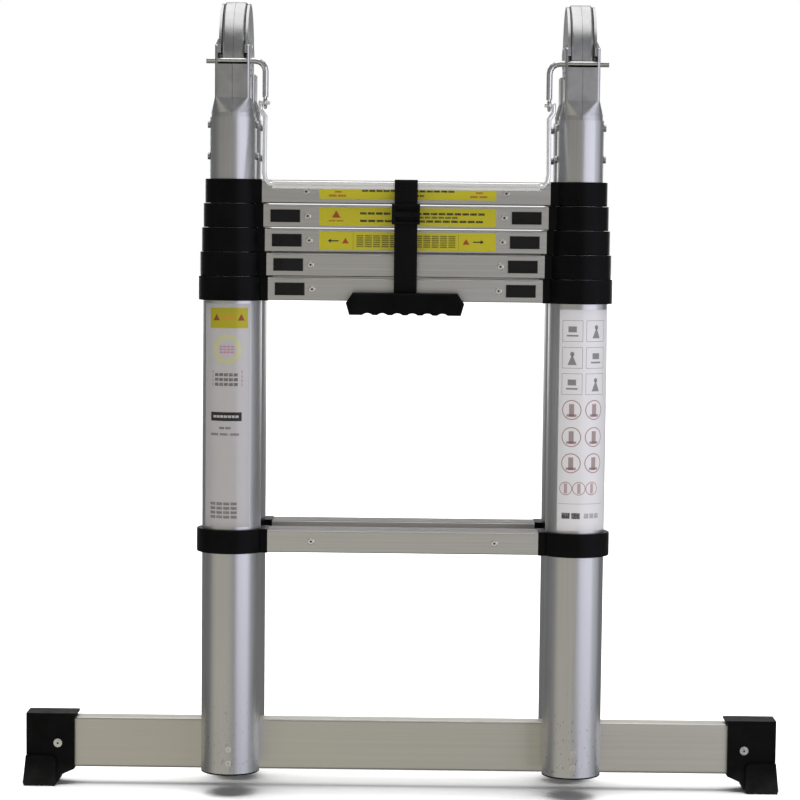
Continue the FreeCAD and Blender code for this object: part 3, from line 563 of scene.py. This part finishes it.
web = Finish("nylon_webbing", Specular_IOR_Level=0.08)
x, y, z = web.along()
RIB = 0.0016               # pitch of the webbing's cross ribs
TWILL = 0.0011             # pitch of the warp threads
SELVEDGE = 0.0016          # width of the woven edge
lengthwise = z - y
warp = web.node("Math", {"operation": "SINE"}, {0: x * (2 * math.pi / TWILL)})
weft = web.node("Math", {"operation": "SINE"}, {0: lengthwise * (2 * math.pi / RIB) + warp * 0.9})
fuzz = web.noise((2600.0, 2600.0, 2600.0), detail=2.0, rough=0.6)
thread = web.node("MapRange", {}, {"Value": weft + warp * 0.6, 1: -1.6, 2: 1.6, 3: 0.0, 4: 1.0})
selvedge = abs(x) > WEB_HALF - SELVEDGE
woven = web.ramp(thread, [(0.1, grey(0.0010)), (0.9, grey(0.0055, 1, 1, 1.05))])
web.varies("Base Color", web.blend(selvedge * 0.5, woven, grey(0.009, 1, 1, 1.05)))
web.varies("Roughness", 0.70 + (fuzz - MEAN) * 0.3)
web.bump(thread * 0.8 + fuzz * 0.3, strength=0.5, distance=0.0003)
strap.data.materials.append(web.material)
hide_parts("carry_strap")
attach(strap, "front_stage_5")

# The slide: an injection-moulded frame with a middle bar that the webbing threads round.
SLIDE_HALF = 0.0165
SLIDE_LOW = 0.6846
SLIDE_HIGH = 0.7084
SLIDE_RIM = 0.0032
SLIDE_THICK = 0.0036
SLIDE_OUT = 0.0018         # middle of the slide in front of the webbing's
deselect()
bpy.ops.mesh.primitive_grid_add(x_subdivisions=1, y_subdivisions=2, size=1.0)
buckle = named("strap_slide")
bpy.ops.object.mode_set(mode="EDIT")
bpy.ops.mesh.select_all(action="SELECT")
bpy.ops.transform.resize(value=(2 * SLIDE_HALF, SLIDE_HIGH - SLIDE_LOW, 1.0))
bpy.ops.mesh.inset(thickness=SLIDE_RIM, use_individual=True)
bpy.ops.mesh.delete(type="FACE")
bpy.ops.mesh.select_all(action="SELECT")
bpy.ops.transform.rotate(
    value=math.radians(-90.0), orient_axis="X", center_override=(0.0, 0.0, 0.0)
)
bpy.ops.object.mode_set(mode="OBJECT")
buckle.location = (0.0, hang_y - SLIDE_OUT, (SLIDE_LOW + SLIDE_HIGH) / 2)
settle(buckle)
modified(buckle, "SOLIDIFY", thickness=SLIDE_THICK, offset=0.0)
modified(buckle, "BEVEL", width=0.0009, segments=3, limit_method="ANGLE")
smooth(buckle)
slide_finish = moulded(
    "slide_acetal",
    deep=grey(0.002, 1, 1, 1.1),
    pale=grey(0.005, 1, 1, 1.1),
    roughness=0.32,
    pebble=1800.0,
    strength=0.06,
)
buckle.data.materials.append(slide_finish.material)
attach(buckle, "front_stage_5")

# ---- carry handle -------------------------------------------------------------------------
# A moulded grip hung on the end of the strap, with finger scallops along its lower edge.

handle_finish = moulded(
    "handle_nylon", deep=grey(0.0014), pale=grey(0.0038), roughness=0.42, pebble=1100.0, strength=0.16
)
handle_finish.onto("carry_handle")

# ---- labels -------------------------------------------------------------------------------
# Printed plastic film on both base tubes and on three rungs. The print is plain blocks,
# rings, triangles and bars, with no words. Each film is its own thin piece on the metal.

tube_low, tube_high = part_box("front_base_tubes")
TUBE_R = (tube_high[1] - tube_low[1]) / 2
front_y = (tube_high[1] + tube_low[1]) / 2
stile_x = tube_high[0] - TUBE_R
FILM = 0.00012             # thickness of the film
FILM_AIR = 0.00006         # under it
mm = 0.001
RED = (0.22, 0.035, 0.008, 1.0)
INK = (0.010, 0.009, 0.009, 1.0)
YELLOW = (0.34, 0.30, 0.003, 1.0)
ORANGE = (0.50, 0.18, 0.03, 1.0)
OLIVE = (0.45, 0.45, 0.16, 1.0)
PINK = (0.45, 0.12, 0.24, 1.0)
DARK_RED = (0.14, 0.05, 0.05, 1.0)
BROWN = (0.20, 0.06, 0.06, 1.0)
CLEAR_FILM = (0.40, 0.385, 0.385, 1.0)
WHITE_FILM = (0.56, 0.55, 0.56, 1.0)


class Print(Finish):
    """A finish with marks on it, placed in millimetres across the film and up the ladder."""

    def __init__(self, name, ground, base=0.0, **steady):
        super().__init__(name, **steady)
        self.colour = ground
        self.base = base       # the height in millimetres that marks are measured from
        spot = self.along()
        self.across = spot[0]
        self.up = spot[2]

    def wrap(self, centre_x, centre_y, radius):
        """Measure across along the curved skin of a tube, from its front line."""
        spot = self.along()
        sides = {0: spot[0] - centre_x, 1: centre_y - spot[1]}
        self.across = self.node("Math", {"operation": "ARCTAN2"}, sides) * radius

    def at(self, height):
        return (self.base + height) * mm

    def repeat(self, distance, pitch):
        """Runs from 0 to 1 over each pitch."""
        return self.node("Math", {"operation": "FRACT"}, {0: distance / pitch})

    def block(self, left, right, low, high):
        left, right, low, high = left * mm, right * mm, self.at(low), self.at(high)
        inside = abs(self.across - (left + right) / 2) < (right - left) / 2
        return inside * (abs(self.up - (low + high) / 2) < (high - low) / 2)

    def outline(self, left, right, low, high, line):
        inner = self.block(left + line, right - line, low + line, high - line)
        return self.block(left, right, low, high) - inner

    def ring(self, centre, height, outer, inner):
        beside = self.across - centre * mm
        above = self.up - self.at(height)
        square = beside * beside + above * above
        return (square < (outer * mm) ** 2) * (square > (inner * mm) ** 2)

    def triangle(self, centre, low, high, half):
        low, high = self.at(low), self.at(high)
        slope = half * mm / (high - low)
        inside = abs(self.across - centre * mm) < (high - self.up) * slope
        return inside * (self.up > low)

    HEAD_SLOPE = 0.6           # half height of an arrow's head over its length

    def arrow_head(self, tip, height, length, side):
        """Points left for side -1 and right for side 1."""
        behind = side * (tip * mm - self.across)
        inside = abs(self.up - self.at(height)) < behind * self.HEAD_SLOPE
        return inside * (behind < length * mm)

    ROW_HALF = 0.32            # inked share of a row to each side of its middle
    WORD = 0.84                # inked share of a word's pitch
    FLECK = 0.36               # noise below this leaves the film bare

    def bars(self, left, right, low, high, rows, words=4.0):
        """Rows of broken bars that stand for lines of print."""
        inside = self.block(left, right, low, high)
        left, right, low, high = left * mm, right * mm, self.at(low), self.at(high)
        row = self.repeat(self.up - low, (high - low) / rows)
        word = self.repeat(self.across - left, (right - left) / words)
        ink = (abs(row - 0.5) < self.ROW_HALF) * (word < self.WORD)
        fleck = self.noise((1400.0, 1400.0, 900.0), detail=1.0, rough=0.5) > self.FLECK
        return inside * ink * fleck

    def lay(self, marks):
        """Print marks in turn. Each has a shape, its measures, a colour and a strength."""
        for shape, measures, colour, strength in marks:
            mask = getattr(self, shape)(*measures)
            self.colour = self.blend(mask * strength, self.colour, colour)

    def finished(self):
        wear = self.noise((120.0, 120.0, 120.0), detail=4.0, rough=0.6)
        self.varies("Base Color", self.blend(wear * 0.06, self.colour, grey(0.30)))
        self.varies("Roughness", 0.34 + (wear - MEAN) * 0.2)
        self.bump(wear, strength=0.05, distance=0.0002)
        return self.material


def tube_label(name, side, left_degrees, right_degrees, low, high, material):
    """A film wrapped part of the way round a base tube."""
    deselect()
    bpy.ops.mesh.primitive_cylinder_add(
        vertices=180, radius=TUBE_R + FILM_AIR, depth=high - low, end_fill_type="NOTHING"
    )
    film = named(name)
    bpy.ops.object.mode_set(mode="EDIT")
    bpy.ops.mesh.select_mode(type="FACE")
    bpy.ops.mesh.select_all(action="DESELECT")
    bpy.ops.object.mode_set(mode="OBJECT")
    for face in film.data.polygons:
        turn = math.degrees(math.atan2(face.center.x, -face.center.y))
        face.select = not left_degrees < turn < right_degrees
    bpy.ops.object.mode_set(mode="EDIT")
    bpy.ops.mesh.delete(type="FACE")
    bpy.ops.mesh.select_all(action="SELECT")
    bpy.ops.mesh.subdivide(number_cuts=1)
    bpy.ops.object.mode_set(mode="OBJECT")
    film.location = (side * stile_x, front_y, (low + high) / 2)
    settle(film)
    modified(film, "SOLIDIFY", thickness=FILM, offset=1.0)
    smooth(film, degrees=30.0)
    film.data.materials.append(material)
    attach(film, "front_base")


LABEL_LOW = 0.3255
LEFT_LABEL_HIGH = 0.5900
RIGHT_LABEL_HIGH = 0.5870

left_marks = (
    ("block", (-26, 21.5, 561, 585), YELLOW, 1.0),
    ("triangle", (-17.0, 570, 578, 4.4), RED, 1.0),
    ("triangle", (13.0, 570, 578, 4.4), RED, 1.0),
    ("bars", (-10, 7, 570, 577, 2), ORANGE, 0.8),
    ("ring", (-4.0, 536, 17.5, 11.5), OLIVE, 0.6),
    ("bars", (-13, 5, 531, 541, 3), PINK, 0.8),
    ("bars", (-19, 10, 492, 509, 3, 5.0), INK, 0.75),
    ("bars", (-22.5, -20.9, 492, 512, 4, 1.0), RED, 0.6),
    ("bars", (13.5, 15.1, 492, 512, 4, 1.0), RED, 0.6),
    ("block", (-24.5, 14.0, 451.5, 462), INK, 1.0),
    ("bars", (-21, 11, 454.5, 459, 1, 7.0), grey(0.42), 1.0),
    ("bars", (-13, 2, 441, 445.5, 1, 2.0), INK, 0.7),
    ("bars", (-25, 13, 433.5, 438, 1, 3.0), INK, 0.6),
    ("bars", (-25, 10, 335, 356, 4, 4.0), INK, 0.65),
)
left_print = Print("left_label_print", CLEAR_FILM, Metallic=0.35)
left_print.wrap(-stile_x, front_y, TUBE_R)
left_print.lay(left_marks)
tube_label(
    "left_tube_label",
    side=-1,
    left_degrees=-58.0,
    right_degrees=39.5,
    low=LABEL_LOW,
    high=LEFT_LABEL_HIGH,
    material=left_print.finished(),
)

# Six framed boxes, six large rings with a figure in each, three small rings and a footer.
BOX_TALL = 25
BOX_LINE = 0.5
right_marks = []
for row, top in enumerate((574.5, 543.0, 512.0)):
    for column, (left, right) in enumerate(((-20.3, 4.6), (8.6, 35.0))):
        middle = (left + right) / 2
        right_marks.append(("outline", (left, right, top - BOX_TALL, top, BOX_LINE), INK, 0.75))
        if (row + column) % 2:
            right_marks.append(("ring", (middle, top - 8, 2.6, 0.0), INK, 0.7))
            right_marks.append(("triangle", (middle, top - 21, top - 8, 5.5), INK, 0.7))
        else:
            right_marks.append(("block", (middle - 7, middle + 7, top - 19, top - 17), INK, 0.7))
            right_marks.append(("block", (middle - 5, middle + 5, top - 14, top - 7), INK, 0.7))
for height in (469.0, 437.0, 406.0):
    for centre in (-7.6, 20.4):
        right_marks += [
            ("block", (centre - 3, centre + 3, height - 8, height + 7), DARK_RED, 0.7),
            ("block", (centre - 6, centre + 6, height - 8, height - 5), DARK_RED, 0.7),
            ("ring", (centre, height, 11.8, 10.6), RED, 0.75),
        ]
for centre in (-13.5, 2.5, 18.5):
    right_marks += [
        ("block", (centre - 2, centre + 2, 370, 382), BROWN, 0.6),
        ("ring", (centre, 376, 8.0, 7.0), RED, 0.7),
    ]
right_marks += [
    ("block", (-24, 36, 357.5, 358.1), INK, 0.5),
    ("bars", (-18, 6, 338, 349, 1, 2.0), INK, 0.95),
    ("bars", (9, 30, 339, 348, 1, 3.0), INK, 0.5),
]
right_print = Print("right_label_print", WHITE_FILM, Metallic=0.15)
right_print.wrap(stile_x, front_y, TUBE_R)
right_print.lay(right_marks)
tube_label(
    "right_tube_label",
    side=1,
    left_degrees=-41.0,
    right_degrees=73.0,
    low=LABEL_LOW,
    high=RIGHT_LABEL_HIGH,
    material=right_print.finished(),
)

FILM_LEFT = -0.102
FILM_RIGHT = 0.106
FILM_CORNER = 0.0012


def rung_label(name, rung_node, body, low, high, material):
    """A flat film on a rung's face, with rounded corners."""
    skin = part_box(rung_node)[0][1] + RIVET_CROWN
    deselect()
    bpy.ops.mesh.primitive_plane_add(size=1.0)
    film = named(name)
    bpy.ops.object.mode_set(mode="EDIT")
    bpy.ops.mesh.select_all(action="SELECT")
    bpy.ops.transform.resize(value=(FILM_RIGHT - FILM_LEFT, high - low, 1.0))
    bpy.ops.mesh.bevel(offset=FILM_CORNER, segments=3, affect="VERTICES")
    bpy.ops.mesh.select_all(action="SELECT")
    bpy.ops.transform.rotate(
        value=math.radians(-90.0), orient_axis="X", center_override=(0.0, 0.0, 0.0)
    )
    bpy.ops.object.mode_set(mode="OBJECT")
    film.location = ((FILM_LEFT + FILM_RIGHT) / 2, skin - FILM_AIR - FILM / 2, (low + high) / 2)
    settle(film)
    modified(film, "SOLIDIFY", thickness=FILM, offset=0.0)
    film.data.materials.append(material)
    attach(film, body)


# Heights on these three films are measured from the film's middle.
word_marks = []
for centre in (-80, 86):
    word_marks.append(("bars", (centre - 11, centre + 11, -5.5, -1.5, 1, 2.0), RED, 0.8))
    word_marks.append(("block", (centre - 4, centre + 4, 0.0, 2.0), RED, 0.8))
word_marks.append(("bars", (-52, 58, 0.6, 4.4, 1, 13.0), INK, 0.95))
word_marks.append(("bars", (10, 22, -4.6, -1.2, 1, 2.0), INK, 0.9))

triangle_marks = (
    ("triangle", (-82, -1.5, 7, 5.2), RED, 1.0),
    ("bars", (-91, -72, -6.5, -3.5, 1, 2.0), RED, 0.7),
    ("bars", (-54, 94, 1.8, 6.0, 1, 16.0), INK, 0.97),
    ("bars", (14, 62, -2.2, 1.6, 1, 6.0), INK, 0.8),
    ("bars", (-54, 92, -7.0, -2.8, 1, 15.0), INK, 0.97),
)

arrow_marks = [("bars", (-58, 60, -7.5, 7.5, 6, 12.0), INK, 0.75)]
for side in (-1, 1):
    arrow_marks += [
        ("triangle", (side * 71, -3.0, 3.6, 4.2), RED, 1.0),
        ("block", (side * 84 - 5, side * 84 + 5, -0.7, 0.7), INK, 1.0),
        ("arrow_head", (side * 92, 0.0, 4.0, side), INK, 1.0),
        ("block", (side * 62 - 0.3, side * 62 + 0.3, -9.7, 9.7), INK, 0.5),
    ]

# each film's stage, its lower and upper edge above the rung's underside in mm, and its print
films = ((5, 5.0, 20.0, word_marks), (4, 2.6, 24.0, triangle_marks), (3, 2.6, 24.0, arrow_marks))
for stage, lower_edge, upper_edge, marks in films:
    node = "front_stage_%d_rung" % stage
    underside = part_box(node)[0][2]
    low = underside + lower_edge * mm
    high = underside + upper_edge * mm
    middle = (low + high) / 2 / mm
    film_print = Print("rung_label_print_%d" % stage, YELLOW, middle, Specular_IOR_Level=0.25)
    film_print.lay(marks)
    body = "front_stage_%d" % stage
    rung_label("rung_label_%d" % stage, node, body, low, high, film_print.finished())

# ---- floor, light and camera --------------------------------------------------------------
# A pale floor under soft studio light: a panel overhead, a cool window on the right in three
# parts, a dim warm room in front, a bright wall behind and an even sky. The wall lights the
# tubes' edges and is hidden from the camera.

FLOOR_SIZE = 60.0
FLOOR_GAP = 0.0002         # under the feet
deselect()
bpy.ops.mesh.primitive_plane_add(size=FLOOR_SIZE, location=(0.0, 0.0, -FLOOR_GAP))
floor = named("floor")
floor_finish = Finish("pale_floor")
mottle = floor_finish.noise((3.0, 3.0, 3.0), detail=3.0, rough=0.5)
floor_finish.varies("Base Color", floor_finish.ramp(mottle, [(0.3, grey(0.90)), (0.7, grey(0.93))]))
floor_finish.varies("Roughness", 0.80 + (mottle - MEAN) * 0.1)
floor.data.materials.append(floor_finish.material)
floor.visible_glossy = False       # the satin metal mirrors the room and not the floor


def panel(name, place, aim, width, height, radiance, colour):
    """A soft rectangular light facing a point. Its brightness is set per square metre."""
    light = bpy.data.lights.new(name, "AREA")
    light.shape = "RECTANGLE"
    light.size = width
    light.size_y = height
    light.energy = radiance * math.pi * width * height
    light.color = colour
    lamp = bpy.data.objects.new(name, light)
    bpy.context.collection.objects.link(lamp)
    lamp.location = place
    lamp.rotation_euler = (Vector(aim) - Vector(place)).to_track_quat("-Z", "Y").to_euler()
    return lamp


panel(
    "overhead_panel",
    place=(0.0, 1.3, 3.0),
    aim=(0.0, 1.3, 0.0),
    width=1.8,
    height=5.4,
    radiance=1.30,
    colour=(1.0, 0.99, 0.97),
)
panel(
    "window_panel",
    place=(2.4, -2.1, 0.7),
    aim=(0.0, 0.0, 0.5),
    width=2.8,
    height=2.8,
    radiance=1.05,
    colour=(0.86, 0.86, 1.0),
)
panel(
    "window_edge",
    place=(1.25, -3.0, 0.7),
    aim=(0.0, 0.0, 0.5),
    width=0.40,
    height=2.4,
    radiance=1.1,
    colour=(0.89, 0.87, 1.0),
)
panel(
    "window_side",
    place=(3.1, -0.3, 0.6),
    aim=(0.0, 0.0, 0.5),
    width=2.2,
    height=2.6,
    radiance=0.46,
    colour=(0.86, 0.90, 1.0),
)
panel(
    "room_panel",
    place=(-2.6, -3.9, -0.95),
    aim=(0.0, 0.0, -0.95),
    width=8.4,
    height=3.4,
    radiance=0.36,
    colour=(1.0, 0.95, 0.74),
)
wall = panel(
    "wall_panel",
    place=(0.0, 3.5, 0.62),
    aim=(0.0, 0.0, 0.62),
    width=5.0,
    height=0.7,
    radiance=1.3,
    colour=(1.0, 1.0, 1.0),
)
wall.visible_camera = False

SKY_STRENGTH = 4.6
SKY_SPREAD = 70.0          # degrees, so wide that it casts no edge
skylight = bpy.data.lights.new("skylight", "SUN")
skylight.energy = SKY_STRENGTH
skylight.angle = math.radians(SKY_SPREAD)
sky = bpy.data.objects.new("skylight", skylight)
sky.visible_glossy = False
bpy.context.collection.objects.link(sky)

room = bpy.data.worlds.new("room")
bpy.context.scene.world = room
room.use_nodes = True
room.node_tree.nodes.clear()
world_output = room.node_tree.nodes.new("ShaderNodeOutputWorld")
seen = room.node_tree.nodes.new("ShaderNodeBackground")
seen.inputs[0].default_value = grey(1.0)
around = room.node_tree.nodes.new("ShaderNodeBackground")
around.inputs[0].default_value = grey(0.18)
chosen = room.node_tree.nodes.new("ShaderNodeMixShader")
path = room.node_tree.nodes.new("ShaderNodeLightPath")
room.node_tree.links.new(path.outputs["Is Camera Ray"], chosen.inputs[0])
room.node_tree.links.new(around.outputs[0], chosen.inputs[1])
room.node_tree.links.new(seen.outputs[0], chosen.inputs[2])
room.node_tree.links.new(chosen.outputs[0], world_output.inputs[0])
bpy.context.scene.view_settings.view_transform = "Standard"

CAMERA_PLACE = (0.0177, front_y - 3.2222, 0.6937)
CAMERA_TILT = 0.08785      # radians below level
CAMERA_TURN = 0.00682
CAMERA_ROLL = 0.01044
LENS = 122.04
SENSOR = 36.0
SHIFT = 0.0695
FAR = 100.0
camera_data = bpy.data.cameras.new("camera")
camera_data.lens = LENS
camera_data.sensor_width = SENSOR
camera_data.shift_y = SHIFT
camera_data.clip_end = FAR
camera = bpy.data.objects.new("camera", camera_data)
bpy.context.collection.objects.link(camera)
camera.location = CAMERA_PLACE
turn = Matrix.Rotation(CAMERA_TURN, 3, "Z")
tilt = Matrix.Rotation(math.pi / 2 - CAMERA_TILT, 3, "X")
roll = Matrix.Rotation(CAMERA_ROLL, 3, "Z")
camera.rotation_euler = (turn @ tilt @ roll).to_euler()
bpy.context.scene.camera = camera
